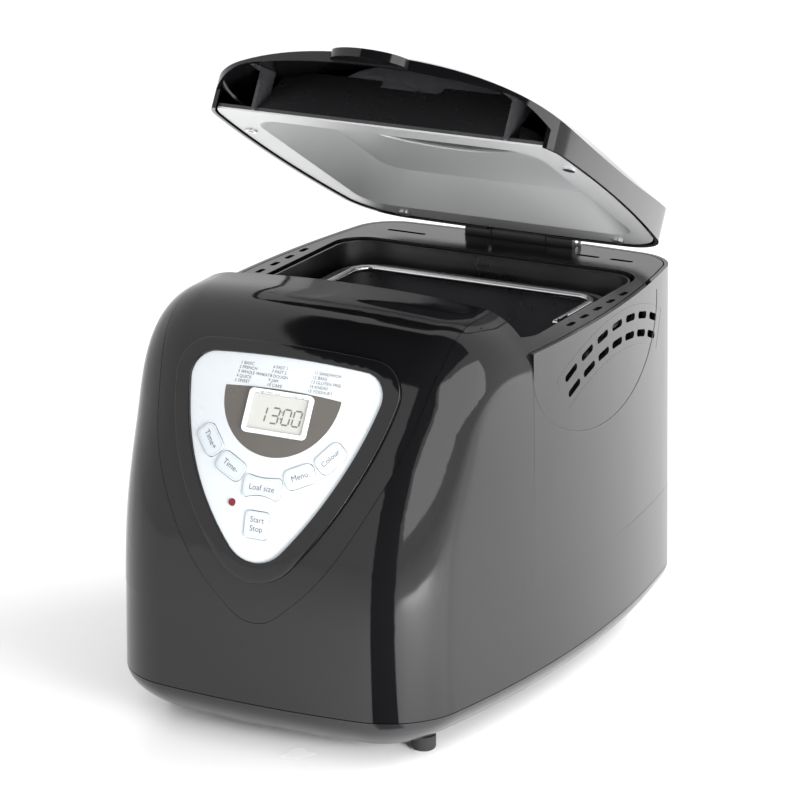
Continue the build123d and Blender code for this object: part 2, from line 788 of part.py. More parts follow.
def make_coupling():
    low = chamber_floor_z + chamber_wall + 0.6
    hub = post(dog_radius, low, low + 4.0, 0, drive_y) - post(shaft_radius, low - 1, low + 2.4, 0, drive_y)
    for side in (-1, 1):
        hub += Pos(side * (dog_radius - 3.2), drive_y, low + 4.0) * Box(5, 4, 3.4, align=on_base)
    return hub


def make_motor():
    low = chassis_z + chassis_thickness
    can = post(motor_radius, low + 3, low + motor_height, 0, motor_y)
    can = fillet(can.edges().group_by(Axis.Z)[-1], 4)
    can += post(motor_nose_radius, chassis_z, low + 4, 0, motor_y)
    for i in range(4):
        x = motor_radius * 0.72 * (1 if i % 2 else -1)
        y = motor_y + motor_radius * 0.72 * (1 if i // 2 else -1)
        can += post(4, low, low + 8, x, y)
    return can - post(shaft_radius + running_gap, 0, low + 30, 0, motor_y)


def make_motor_shaft():
    return post(shaft_radius, pulley_low_z - 1.5, chassis_z + chassis_thickness + 28, 0, motor_y)


# ================ pan ================
def pan_shell(grow, low, high):
    """Tapered tub with round corners, between two heights."""
    outlines = []
    for z in (low, high):
        share = (z - pan_floor_z) / (pan_top_z - pan_floor_z)
        width = pan_base_width + (pan_top_width - pan_base_width) * share + 2 * grow
        depth = pan_base_depth + (pan_top_depth - pan_base_depth) * share + 2 * grow
        outlines.append(Pos(0, drive_y, z) * RectangleRounded(width, depth, pan_corner + grow))
    return loft(outlines)


def make_pan():
    pan = pan_shell(0, pan_floor_z, pan_top_z)
    bead = pan_shell(pan_bead, pan_top_z - pan_bead, pan_top_z)
    pan = pan + bead - pan_shell(-pan_wall, pan_floor_z + pan_wall, pan_top_z + 1)
    return pan - post(pan_bush_radius, pan_floor_z - 1, pan_floor_z + 10, 0, drive_y)


def make_pan_collar():
    radius = socket_radius - socket_wall - collar_gap
    low = chamber_floor_z + chamber_wall + 1.6
    ring = post(radius, low, pan_floor_z, 0, drive_y)
    ring -= post(radius - 3, low - 1, pan_floor_z - 2, 0, drive_y)
    return ring - post(pan_bush_radius, low, pan_floor_z + 1, 0, drive_y)


def make_pan_bush():
    low, high = pan_floor_z - 5, pan_floor_z + pan_wall + 3
    bush = post(pan_bush_radius, low, high, 0, drive_y)
    return bush - post(shaft_radius + running_gap, low - 1, high + 1, 0, drive_y)


def make_pan_shaft():
    low = chamber_floor_z + chamber_wall + 5.2
    shaft = post(shaft_radius, low, pan_floor_z + paddle_height, 0, drive_y)
    return shaft + Pos(0, drive_y, low) * Box(5, 2 * dog_radius - 1, 4, align=on_base)


def make_paddle():
    low = pan_floor_z + pan_wall + 3.6
    hub = post(9, low, low + 17, 0, drive_y)
    blade = box_between((4, drive_y - 2, low), (paddle_length, drive_y + 2, low + 14))
    blade = fillet(blade.edges().filter_by(Axis.Y).sort_by(Axis.X)[-1:], 8)
    tip = Pos(paddle_length * 0.6, drive_y + 5, low) * Box(18, 14, 2, align=on_base)
    return hub + blade + tip - post(shaft_radius, low - 1, low + 30, 0, drive_y)


def handle_pivot_x(z):
    share = (z - pan_floor_z) / (pan_top_z - pan_floor_z)
    return (pan_base_width + (pan_top_width - pan_base_width) * share) / 2


def along_x(radius, from_x, to_x, y, z):
    """A level cylinder that runs across."""
    plane = Plane(origin=(from_x, y, z), x_dir=(0, 1, 0), z_dir=(1, 0, 0))
    return extrude(plane * Circle(radius), to_x - from_x)


def make_handle_lugs():
    lugs = []
    for side in (-1, 1):
        wall = handle_pivot_x(pan_top_z)
        x = wall - pan_wall - lug_inset
        ear = box_between((x - 1.8, drive_y - 7, pan_top_z - 9), (x, drive_y + 7, pan_top_z))
        ear += box_between((x - 1.8, drive_y - 5, pan_top_z), (x, drive_y + 5, pan_top_z + lug_rise))
        ear -= along_x(handle_radius + running_gap, x - 3, x + 1, drive_y, handle_z)
        if side < 0:
            ear = mirror(ear, Plane.YZ)
        lugs.append(ear)
    return Compound(children=lugs)


def make_handle():
    reach = handle_pivot_x(pan_top_z) - pan_wall - 6
    span = pan_top_depth / 2 - 10
    path = FilletPolyline(
        (-reach, drive_y, handle_z), (-reach, drive_y + span, handle_z),
        (reach, drive_y + span, handle_z), (reach, drive_y, handle_z), radius=[12, 12])
    start = Plane(origin=path @ 0, z_dir=path % 0)
    wire = sweep(start * Circle(handle_radius), path=path)
    for side in (-1, 1):
        a, b = sorted((side * reach, side * (reach + 6.0 - lug_inset)))
        wire += along_x(handle_radius, a, b, drive_y, handle_z)
        wire += Pos(side * reach, drive_y, handle_z) * Sphere(handle_radius)
    return wire


# ================ controls ================
def make_controls():
    """Surround, plate, mask, display and keys, all following the casing's curved face."""
    plate_back = plate_proud - plate_depth
    bezel_outer = through_panel(pick_face(bezel_side, bezel_side + 3.4, 7.5, 30.0, 20.0))
    bezel_outline = bezel_outer - through_panel(panel_outline(fit_gap))
    parts["panel_bezel"] = front_skin(bezel_outline, bezel_proud, 0.0)
    plate = front_skin(through_panel(panel_outline()), plate_proud, plate_back)
    plate -= through_panel(mask_face(fit_gap))
    for name, (outline, (x, v)) in key_faces.items():
        plate -= along_normal(outline(key_gap), x, v)
        prism = along_normal(outline(0.0), x, v)
        parts[name] = front_skin(prism, plate_proud + key_proud, plate_back - 3.0)
    led = face_plane(*led_place)
    plate -= extrude(led * Circle(led_radius + fit_gap), 12, both=True)
    led_back = Plane(led.origin - led.z_dir * 4, x_dir=led.x_dir, z_dir=led.z_dir)
    parts["status_lamp"] = extrude(led_back * Circle(led_radius), 5.6)
    parts["control_panel"] = plate
    eye = face_plane(0, 0)

    def on_eye(face, low, high):
        base = Plane(eye.origin + eye.z_dir * low, x_dir=eye.x_dir, z_dir=eye.z_dir)
        return extrude(base * face, high - low)

    window = RectangleRounded(display_width - 2 * display_border, display_height - 2 * display_border, 1.2)
    frame_top = plate_proud + 0.9
    mask = front_skin(through_panel(mask_face()), plate_proud + 0.1, plate_back)
    opening = RectangleRounded(display_width + 2 * fit_gap, display_height + 2 * fit_gap, 3)
    parts["display_mask"] = mask - on_eye(opening, -20, 20)
    surround = RectangleRounded(display_width, display_height, 3)
    parts["display_frame"] = on_eye(surround, -3, frame_top) - on_eye(window, -5, 5)
    glass_width = display_width - 2 * display_border - 2 * fit_gap
    glass_height = display_height - 2 * display_border - 2 * fit_gap
    glass = RectangleRounded(glass_width, glass_height, 1.2)
    parts["display_glass"] = on_eye(glass, -2.2, frame_top - 0.9)
    parts["display_module"] = on_eye(Rectangle(display_width + 6, display_height + 4), -9.5, -3.3)
    board = Plane(eye.origin - eye.z_dir * board_back, x_dir=eye.x_dir, z_dir=eye.z_dir)
    outline = Pos(0, -14) * RectangleRounded(board_width, board_height, 3)
    parts["control_board"] = extrude(board * outline, -board_thickness)
    switches = []
    for name, (outline, (x, v)) in key_faces.items():
        spot = face_plane(x, v)
        low = Plane(spot.origin - spot.z_dir * 12.3, x_dir=spot.x_dir, z_dir=spot.z_dir)
        body = extrude(low * Rectangle(6, 6), 4.0)
        body += extrude(low * Circle(1.6), 12.3 + plate_proud - plate_depth - 3.0 - key_travel - 0.35)
        switches.append(body)
    parts["key_switches"] = Compound(children=switches)


# ================ lid pieces ================
def make_lid():
    """The lid's pieces, made shut and then swung open."""
    shut_z = rim_z + lid_gap
    inside = lid_block(-lid_wall, shut_z - 40)
    hood_room = front_block(hood_clearance)
    hollow = lid_block(0.0, shut_z) - inside - hood_room
    window_prism = extrude(Pos(0, window_y, 0) * Ellipse(window_half_width + 6, window_half_depth + 6), 400)
    fit_oval = Ellipse(window_half_width + 5.85, window_half_depth + 5.85)
    window_fit = extrude(Pos(0, window_y, 0) * fit_oval, 400)
    parts["lid_window"] = swing((lid_block(0.0, shut_z) - inside) & window_fit)

    liner_z = shut_z + 1.0
    flange_front = hood_edge_y + 2.6
    flange_plan = lid_plan(-lid_wall - 1.2) & Pos(0, flange_front + 200) * Rectangle(400, 400)
    flange = extrude(Pos(0, 0, liner_z) * flange_plan, liner_thickness)
    dish_depth = dish_back_y - dish_front_y
    dish_y = (dish_back_y + dish_front_y) / 2

    def dish(grow, low, high):
        wide = 2 * dish_half_width + 2 * grow
        deep = dish_depth + 2 * grow
        near = Pos(0, dish_y, low) * RectangleRounded(wide, deep, 20 + grow)
        far = Pos(0, dish_y, high) * RectangleRounded(wide - 34, deep - 34, 16 + grow)
        return loft([near, far])

    top = liner_z + dish_height
    liner = flange + dish(0, liner_z, top)
    liner -= dish(-liner_thickness, liner_z - 0.01, top - liner_thickness)
    glass_oval = Ellipse(window_half_width - 4, window_half_depth - 4)
    liner -= extrude(Pos(0, window_y, liner_z) * glass_oval, 60)
    for x, y in liner_screw_places:
        liner -= post(screw_radius + fit_gap, liner_z - 1, liner_z + 5, x, y)
    parts["lid_liner"] = swing(liner)
    ring_oval = Ellipse(window_half_width + 3, window_half_depth + 3)
    ring = extrude(Pos(0, window_y, top) * ring_oval, glass_thickness + 2)
    ring -= extrude(Pos(0, window_y, top - 1) * Ellipse(window_half_width - 4, window_half_depth - 4), 20)
    seat_oval = Ellipse(window_half_width, window_half_depth)
    seat = extrude(Pos(0, window_y, top) * seat_oval, glass_thickness + fit_gap)
    parts["window_ring"] = swing(ring - seat)
    pane = Pos(0, window_y, top) * Ellipse(window_half_width - fit_gap, window_half_depth - fit_gap)
    parts["window_glass"] = swing(extrude(pane, glass_thickness))

    # inner frame: a ring above the liner's flange, the sloping front plate, end fins and the hinge arm
    inner_room = lid_block(-lid_wall - 0.3, shut_z - 1)
    band = extrude(Pos(0, 0, liner_z + liner_thickness) * flange_plan, 2.0)
    dish_hole = RectangleRounded(2 * dish_half_width + 3, dish_depth + 3, 21)
    band -= extrude(Pos(0, dish_y, liner_z) * dish_hole, 20)
    fin_z = liner_z + liner_thickness + 0.1
    slope_up = Vector(0, -sin(plate_slope), cos(plate_slope))
    slope = Plane(origin=(0, flange_front + 1.8, fin_z), x_dir=(1, 0, 0), z_dir=slope_up)
    plate = extrude(slope * (Pos(0, 22) * Rectangle(2 * front_plate_half, 44)), 2.0)
    plate -= extrude(slope * (Pos(0, 44) * RectangleRounded(40, 14, 3)), 6, both=True)
    for side in (-1, 1):
        x = side * front_plate_half
        plate += box_between((x - 1, lid_front_y + 8, fin_z), (x + 1, flange_front + 12, lid_top_z))
    frame = (band + plate) & inner_room
    frame -= hood_room
    frame -= front_block(hood_clearance)
    arm_top = hinge_z + knuckle_radius - 1.5
    arm = box_between((-knuckle_length, lid_back_y - 12, shut_z + 2.2), (knuckle_length, hinge_y, arm_top))
    arm -= extrude(Pos(0, dish_y, liner_z - 3) * dish_hole, 40)
    barrel = along_x(knuckle_radius, -knuckle_length, knuckle_length, hinge_y, hinge_z)
    arm = (arm + barrel) - along_x(hinge_pin_radius + running_gap, -60, 60, hinge_y, hinge_z)
    for x, y in liner_screw_places:
        frame += post(screw_radius + 2, liner_z + liner_thickness, liner_z + 9, x, y)
        frame -= post(screw_radius, liner_z - 1, liner_z + 8, x, y)
    shell = hollow - window_prism
    notch_top = hinge_z + knuckle_radius
    notch = box_between(
        (-knuckle_length - 1, lid_back_y - 14, shut_z - 1), (knuckle_length + 1, lid_back_y + 3, notch_top))
    parts["lid_shell"] = swing(shell - notch)
    parts["lid_frame"] = swing(frame)
    parts["hinge_arm"] = swing(arm - frame)
    screws = []
    for x, y in liner_screw_places:
        screw = post(screw_head_radius, liner_z - 1.0, liner_z, x, y)
        screw += post(screw_radius - 0.05, liner_z - 0.2, liner_z + 7, x, y)
        screws.append(screw)
    parts["liner_screws"] = swing(Compound(children=screws))
    tab_plan = Pos(0, lid_front_y + 1.0) * Ellipse(tab_width / 2, tab_reach)
    tab_low = lid_top(lid_front_y) - tab_thickness - 0.5
    tab = extrude(Pos(0, 0, tab_low) * tab_plan, tab_thickness)
    parts["lid_tab"] = swing(tab - lid_block(0.0, shut_z) - front_block(hood_clearance))


def make_hinge_bracket():
    half = 2 * knuckle_length
    web_top = hinge_z - knuckle_radius - 0.8
    bracket = box_between((-half, hinge_y + 0.5, web_top - 22), (half, hinge_y + 3.5, web_top))
    for side in (-1, 1):
        a, b = sorted((side * (knuckle_length + knuckle_gap), side * half))
        bracket += along_x(knuckle_radius, a, b, hinge_y, hinge_z)
        bracket += box_between((a, hinge_y - 3, web_top - 3), (b, hinge_y + 3.5, hinge_z))
    return bracket - along_x(hinge_pin_radius, -60, 60, hinge_y, hinge_z)


def hinge_pocket():
    """Room for the knuckles in the opening frame and the back wall."""
    reach = knuckle_radius + 0.8
    half = 2 * knuckle_length + 0.8
    return box_between((-half, hinge_y - reach, hinge_z - reach - 4), (half, rear_y + 5, hinge_z + reach))


def make_all():
    parts["outer_shell"] = make_outer_shell()
    parts["front_fascia"] = make_front_fascia()
    parts["base_tray"] = make_base_tray()
    parts["rubber_feet"] = make_feet()
    parts["chassis_plate"] = make_chassis()
    parts["case_screws"] = make_case_screws()
    parts["rim_frame"] = make_rim_frame()
    parts["baking_chamber"] = make_chamber()
    parts["heating_element"] = make_element()
    parts["element_bushes"] = make_element_bushes()
    parts["temperature_probe"] = make_probe()
    parts["chamber_stands"] = make_stands()
    parts["pan_socket"] = make_socket()
    parts["large_pulley"] = pulley(large_pulley_radius, 0, drive_y, 5)
    parts["small_pulley"] = pulley(small_pulley_radius, 0, motor_y, 0)
    parts["drive_belt"] = make_belt()
    parts["drive_shaft"] = make_drive_shaft()
    parts["shaft_bush"] = make_bush()
    parts["drive_coupling"] = make_coupling()
    parts["motor"] = make_motor()
    parts["motor_shaft"] = make_motor_shaft()
    parts["bread_pan"] = make_pan()
    parts["pan_collar"] = make_pan_collar()
    parts["pan_bush"] = make_pan_bush()
    parts["pan_shaft"] = make_pan_shaft()
    parts["kneading_paddle"] = make_paddle()
    parts["handle_lugs"] = make_handle_lugs()
    parts["pan_handle"] = make_handle()
    make_controls()
    make_lid()
    parts["hinge_bracket"] = make_hinge_bracket()
    pin_half = 2 * knuckle_length
    parts["hinge_pin"] = along_x(hinge_pin_radius, -pin_half, pin_half, hinge_y, hinge_z)
    board = box_between((-power_width / 2, 0, 0), (power_width / 2, 1.6, 60))
    parts["power_board"] = Pos(0, rear_y - casing_wall - 14, chassis_z + chassis_thickness + 4) * board
    parts["mains_gland"] = along_y(gland_radius, rear_y - 16, rear_y - 0.4, gland_x, gland_z) - along_y(
        gland_radius - 3, rear_y - 20, rear_y + 1, gland_x, gland_z)


make_all()
os.makedirs("parts", exist_ok=True)
for name, shape in parts.items():
    export_step(shape, f"parts/{name}.step")
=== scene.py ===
# %% [markdown]
# # A bread machine with its lid half open
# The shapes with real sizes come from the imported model: shells, pan, lid, drive and keys. This script
# gives each of them its finish, replaces a few with finer meshes, and adds what is printed or very
# small. Every length is in metres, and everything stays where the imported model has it.

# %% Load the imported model
import json
from math import cos, radians, sin

import bmesh
import bpy
from mathutils import Matrix, Vector
from mathutils.bvhtree import BVHTree

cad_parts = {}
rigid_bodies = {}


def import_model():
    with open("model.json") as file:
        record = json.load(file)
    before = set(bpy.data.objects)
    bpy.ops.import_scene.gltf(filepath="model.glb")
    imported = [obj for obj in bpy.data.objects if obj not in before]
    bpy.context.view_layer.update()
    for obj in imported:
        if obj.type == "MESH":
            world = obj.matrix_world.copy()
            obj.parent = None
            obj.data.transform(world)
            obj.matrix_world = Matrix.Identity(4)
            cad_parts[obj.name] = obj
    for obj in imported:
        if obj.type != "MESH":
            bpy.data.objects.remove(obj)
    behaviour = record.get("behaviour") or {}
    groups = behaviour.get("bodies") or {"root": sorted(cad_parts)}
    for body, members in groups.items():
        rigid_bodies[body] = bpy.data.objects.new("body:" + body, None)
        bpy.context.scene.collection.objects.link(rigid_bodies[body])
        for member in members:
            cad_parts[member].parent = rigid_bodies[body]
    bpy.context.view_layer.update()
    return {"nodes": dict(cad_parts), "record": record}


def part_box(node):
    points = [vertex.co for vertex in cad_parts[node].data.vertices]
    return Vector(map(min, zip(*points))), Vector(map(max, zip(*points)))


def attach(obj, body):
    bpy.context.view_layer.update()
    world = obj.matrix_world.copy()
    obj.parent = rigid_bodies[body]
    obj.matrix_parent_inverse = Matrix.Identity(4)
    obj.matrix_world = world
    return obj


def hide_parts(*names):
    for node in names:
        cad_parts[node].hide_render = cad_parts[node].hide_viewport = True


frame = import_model()
nodes = frame["nodes"]

# %% [markdown]
# ## Shared effects
# Moulded plastic, pressed steel and rubber all have a fine unevenness that catches light. One shader
# group makes it from two noises, and each material places it with its own size and strength. Another
# group varies how shiny a surface is, as wiping and handling leave it.

# %% A shader group for fine surface grain
def socket(tree, name, kind, way, value=None):
    """One named socket on a node group."""
    s = tree.interface.new_socket(name=name, in_out=way, socket_type=kind)
    if value is not None:
        s.default_value = value
    return s


def new_group(name, inputs, outputs):
    tree = bpy.data.node_groups.new(name, "ShaderNodeTree")
    for label, value in inputs:
        socket(tree, label, "NodeSocketFloat", "INPUT", value)
    for label in outputs:
        socket(tree, label, "NodeSocketFloat", "OUTPUT")
    return tree, tree.nodes.new("NodeGroupInput"), tree.nodes.new("NodeGroupOutput")


def math_node(tree, operation, a, b):
    n = tree.nodes.new("ShaderNodeMath")
    n.operation = operation
    for i, v in enumerate((a, b)):
        if isinstance(v, (int, float)):
            n.inputs[i].default_value = v
        else:
            tree.links.new(v, n.inputs[i])
    return n.outputs[0]


grain, grain_in, grain_out = new_group("moulded_grain", [("Scale", 900.0), ("Waviness", 0.3)], ["Height"])
place = grain.nodes.new("ShaderNodeTexCoord")
fine = grain.nodes.new("ShaderNodeTexNoise")
broad = grain.nodes.new("ShaderNodeTexNoise")
broad.inputs["Scale"].default_value = 22.0
fine.inputs["Detail"].default_value = 3.0
grain.links.new(place.outputs["Object"], fine.inputs["Vector"])
grain.links.new(place.outputs["Object"], broad.inputs["Vector"])
grain.links.new(grain_in.outputs["Scale"], fine.inputs["Scale"])
wave = math_node(grain, "MULTIPLY", broad.outputs[0], grain_in.outputs["Waviness"])
grain.links.new(math_node(grain, "ADD", fine.outputs[0], wave), grain_out.inputs["Height"])
print("group", grain.name)

# %% A shader group for wiped and handled patches
wiped, wiped_in, wiped_out = new_group(
    "wiped_patches", [("Scale", 14.0), ("Low", 0.1), ("High", 0.2)], ["Roughness", "Mask"])
place = wiped.nodes.new("ShaderNodeTexCoord")
patch = wiped.nodes.new("ShaderNodeTexNoise")
patch.inputs["Detail"].default_value = 5.0
patch.inputs["Roughness"].default_value = 0.62
spread = wiped.nodes.new("ShaderNodeMapRange")
wiped.links.new(place.outputs["Object"], patch.inputs["Vector"])
wiped.links.new(wiped_in.outputs["Scale"], patch.inputs["Scale"])
wiped.links.new(patch.outputs[0], spread.inputs["Value"])
spread.inputs["From Min"].default_value = 0.35
spread.inputs["From Max"].default_value = 0.68
wiped.links.new(wiped_in.outputs["Low"], spread.inputs["To Min"])
wiped.links.new(wiped_in.outputs["High"], spread.inputs["To Max"])
wiped.links.new(spread.outputs[0], wiped_out.inputs["Roughness"])
wiped.links.new(patch.outputs[0], wiped_out.inputs["Mask"])
print("group", wiped.name)

# %% [markdown]
# ## Finishes
# A finish is a principled shader. Its plain numbers sit on its own sockets, and the groups above feed
# only colour, roughness and bump. A small colour change between two close tones keeps a large surface
# from looking like a flat swatch.

# %% One helper that builds a finish
def finish(name, colour, tone=None, low=0.2, high=0.3, patch_scale=14.0, grain_scale=900.0,
           waviness=0.3, bump=0.02, depth=0.0004, **plain):
    """A material: colour, a second tone, a range of roughness, and grain."""
    m = bpy.data.materials.new(name)
    m.use_nodes = True
    tree = m.node_tree
    shader = tree.nodes["Principled BSDF"]
    for key, value in plain.items():
        shader.inputs[key.replace("_", " ")].default_value = value
    worn = tree.nodes.new("ShaderNodeGroup")
    worn.node_tree = wiped
    worn.inputs["Scale"].default_value = patch_scale
    worn.inputs["Low"].default_value = low
    worn.inputs["High"].default_value = high
    tree.links.new(worn.outputs["Roughness"], shader.inputs["Roughness"])
    mix = tree.nodes.new("ShaderNodeMix")
    mix.data_type = "RGBA"
    mix.inputs["A"].default_value = (*colour, 1)
    mix.inputs["B"].default_value = (*(tone or [c * 1.25 for c in colour]), 1)
    tree.links.new(worn.outputs["Mask"], mix.inputs["Factor"])
    tree.links.new(mix.outputs["Result"], shader.inputs["Base Color"])
    texture = tree.nodes.new("ShaderNodeGroup")
    texture.node_tree = grain
    texture.inputs["Scale"].default_value = grain_scale
    texture.inputs["Waviness"].default_value = waviness
    relief = tree.nodes.new("ShaderNodeBump")
    relief.inputs["Strength"].default_value = bump
    relief.inputs["Distance"].default_value = depth
    tree.links.new(texture.outputs["Height"], relief.inputs["Height"])
    tree.links.new(relief.outputs["Normal"], shader.inputs["Normal"])
    return m


def paint(material, *names):
    """Puts one material on CAD nodes or pieces."""
    for name in names:
        o = nodes.get(name) or bpy.data.objects[name]
        o.data.materials.clear()
        o.data.materials.append(material)


# %% [markdown]
# ### Plastics
# The casing and the lid are black styrene moulded against a polished tool, so they are almost mirrors:
# low roughness and an index of 1.5. The tray, the opening's frame and the hinge are
# moulded against a spark-eroded tool, so they are satin with a visible grain.

# %% Black and white plastics
gloss_black = finish("gloss_black", (0.003, 0.003, 0.0034), (0.0045, 0.0045, 0.005), 0.05, 0.09, 9.0,
                     500.0, 0.6, 0.01, 0.0002, IOR=1.5)
satin_black = finish("satin_black", (0.012, 0.012, 0.013), (0.02, 0.02, 0.021), 0.34, 0.46, 18.0,
                     1500.0, 0.2, 0.16, 0.0003)
deep_black = finish("deep_black", (0.008, 0.008, 0.009), (0.014, 0.014, 0.015), 0.16, 0.24, 18.0,
                    1200.0, 0.4, 0.06, 0.0003)
graphite = finish("graphite_plastic", (0.022, 0.022, 0.024), (0.034, 0.034, 0.036), 0.22, 0.32, 16.0,
                  1100.0, 0.3, 0.08, 0.0003)
panel_white = finish("panel_white", (0.475, 0.505, 0.53), (0.51, 0.535, 0.555), 0.25, 0.34, 11.0,
                     1600.0, 0.2, 0.04, 0.0002)
key_white = finish("key_white", (0.455, 0.49, 0.52), (0.49, 0.52, 0.545), 0.38, 0.48, 20.0,
                   1800.0, 0.1, 0.08, 0.0002)
frame_white = finish("frame_white", (0.63, 0.65, 0.67), (0.67, 0.69, 0.70), 0.22, 0.3, 30.0)
mask_grey = finish("mask_grey", (0.075, 0.068, 0.06), (0.09, 0.083, 0.075), 0.2, 0.28, 20.0)
nylon = finish("cream_nylon", (0.62, 0.59, 0.52), (0.7, 0.67, 0.6), 0.4, 0.55, 20.0, 800.0, 0.3, 0.1)
board_green = finish("board_green", (0.02, 0.12, 0.05), (0.03, 0.17, 0.07), 0.25, 0.4, 60.0,
                     2500.0, 0.1, 0.1)
switch_black = finish("switch_black", (0.02, 0.02, 0.02), (0.035, 0.035, 0.035), 0.35, 0.5, 40.0)
print("plastics made")

# %% [markdown]
# ### Metals, rubber and glass
# The lid's liner is aluminium sheet pressed into a dish, satin rather than bright. The chamber is
# stainless sheet given a much darker steel colour than the bright steel parts, and the pan has a dark
# non-stick coat with fine speckle. The two windows are clear and smoked, so they keep plain metallic and
# transmission values.

# %% Metals
liner_metal = finish("satin_aluminium", (0.60, 0.605, 0.61), (0.68, 0.685, 0.69), 0.34, 0.42, 7.0,
                     1300.0, 0.5, 0.05, 0.0003, Metallic=0.6)
chamber_steel = finish("chamber_steel", (0.17, 0.17, 0.175), (0.24, 0.24, 0.24), 0.24, 0.38, 9.0,
                       700.0, 0.8, 0.08, 0.0004, Metallic=1.0)
bright_steel = finish("bright_steel", (0.66, 0.66, 0.67), (0.74, 0.74, 0.75), 0.1, 0.18, 40.0,
                      900.0, 0.2, 0.03, Metallic=1.0)
zinc_steel = finish("zinc_steel", (0.45, 0.46, 0.48), (0.58, 0.59, 0.6), 0.3, 0.45, 60.0,
                    300.0, 0.6, 0.12, Metallic=1.0)
cast_alloy = finish("cast_alloy", (0.42, 0.42, 0.43), (0.5, 0.5, 0.5), 0.4, 0.55, 30.0,
                    900.0, 0.3, 0.3, Metallic=1.0)
brass = finish("turned_brass", (0.56, 0.38, 0.14), (0.64, 0.45, 0.18), 0.22, 0.34, 50.0, Metallic=1.0)
pan_coat = finish("pan_coating", (0.03, 0.03, 0.033), (0.05, 0.05, 0.055), 0.26, 0.38, 60.0,
                  1800.0, 0.2, 0.14, 0.0003)
sheath = finish("heated_sheath", (0.07, 0.06, 0.055), (0.13, 0.115, 0.1), 0.4, 0.6, 70.0, Metallic=0.7)
motor_can = finish("motor_can", (0.2, 0.205, 0.22), (0.28, 0.285, 0.3), 0.35, 0.5, 30.0, Metallic=0.9)
print("metals made")

# %% Rubber, ceramic, lens and glass
rubber = finish("foot_rubber", (0.012, 0.012, 0.012), (0.022, 0.022, 0.022), 0.6, 0.8, 30.0,
                1500.0, 0.2, 0.2)
ceramic = finish("bush_ceramic", (0.7, 0.67, 0.6), (0.78, 0.75, 0.69), 0.5, 0.7, 60.0, 1200.0, 0.2, 0.1)
lamp_red = finish("lamp_red", (0.11, 0.008, 0.012), (0.17, 0.012, 0.02), 0.12, 0.2, 80.0)
lcd_face = finish("display_face", (0.40, 0.405, 0.38), (0.46, 0.465, 0.44), 0.14, 0.2, 20.0,
                  1800.0, 0.1, 0.02)
lcd_dark = finish("display_segment", (0.11, 0.115, 0.11), (0.14, 0.145, 0.14), 0.3, 0.4, 40.0)
ink_grey = finish("panel_ink", (0.045, 0.05, 0.06), (0.07, 0.075, 0.085), 0.4, 0.5, 80.0)
ink_blue = finish("outline_ink", (0.33, 0.42, 0.48), (0.38, 0.47, 0.53), 0.4, 0.5, 80.0)
clear_glass = finish("clear_glass", (0.92, 0.95, 0.95), (0.94, 0.96, 0.96), 0.01, 0.03, 20.0,
                     200.0, 0.2, 0.005, Transmission_Weight=1.0, IOR=1.45)
smoked_glass = finish("smoked_glass", (0.05, 0.05, 0.055), (0.06, 0.06, 0.065), 0.02, 0.05, 20.0,
                      200.0, 0.2, 0.005, Transmission_Weight=0.85, IOR=1.45)
print("rubber, ceramic and glass made")

# %% [markdown]
# ## Which piece has which finish
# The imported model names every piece. The table below gives each finish its pieces, and the loop says
# which pieces were left out, so that none keeps a plain colour by mistake.

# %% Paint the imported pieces
finishes = {
    gloss_black: ["outer_shell", "front_fascia", "panel_bezel", "lid_shell", "lid_tab"],
    satin_black: ["hinge_arm", "hinge_bracket", "window_ring", "mains_gland"],
    deep_black: ["rim_frame", "base_tray"],
    graphite: ["lid_frame"],
    smoked_glass: ["lid_window"],
    clear_glass: ["window_glass"],
    liner_metal: ["lid_liner"],
    panel_white: ["control_panel"],
    key_white: [n for n in nodes if n.endswith("_key")],
    mask_grey: ["display_mask"],
    frame_white: ["display_frame"],
    lcd_face: ["display_glass", "display_module"],
    lamp_red: ["status_lamp"],
    rubber: ["rubber_feet", "drive_belt"],
    zinc_steel: ["chassis_plate", "chamber_stands"],
    chamber_steel: ["baking_chamber", "pan_socket"],
    bright_steel: ["temperature_probe", "pan_shaft", "handle_lugs", "pan_handle", "drive_shaft",
                   "motor_shaft", "case_screws", "liner_screws", "hinge_pin"],
    sheath: ["heating_element"],
    ceramic: ["element_bushes"],
    pan_coat: ["bread_pan", "kneading_paddle"],
    cast_alloy: ["pan_collar", "small_pulley", "drive_coupling"],
    brass: ["pan_bush", "shaft_bush"],
    nylon: ["large_pulley"],
    motor_can: ["motor"],
    board_green: ["control_board", "power_board"],
    switch_black: ["key_switches"],
}
for material, names in finishes.items():
    paint(material, *names)
bare = sorted(set(nodes) - {n for names in finishes.values() for n in names})
print("painted", sum(len(v) for v in finishes.values()), "left out", bare)

# %% [markdown]
# ## Finer shells
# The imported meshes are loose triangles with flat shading, which shows as facets on mirror-gloss
# plastic. A copy with its doubles merged can be shaded smooth, with edges kept crisp where two faces
# meet at an angle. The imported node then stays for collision, and the copy is what shows.

# %% Smooth copies of the curved pieces
body_of = {}
for body, parts in frame["record"]["behaviour"]["bodies"].items():
    for part in parts:
        body_of[part] = body


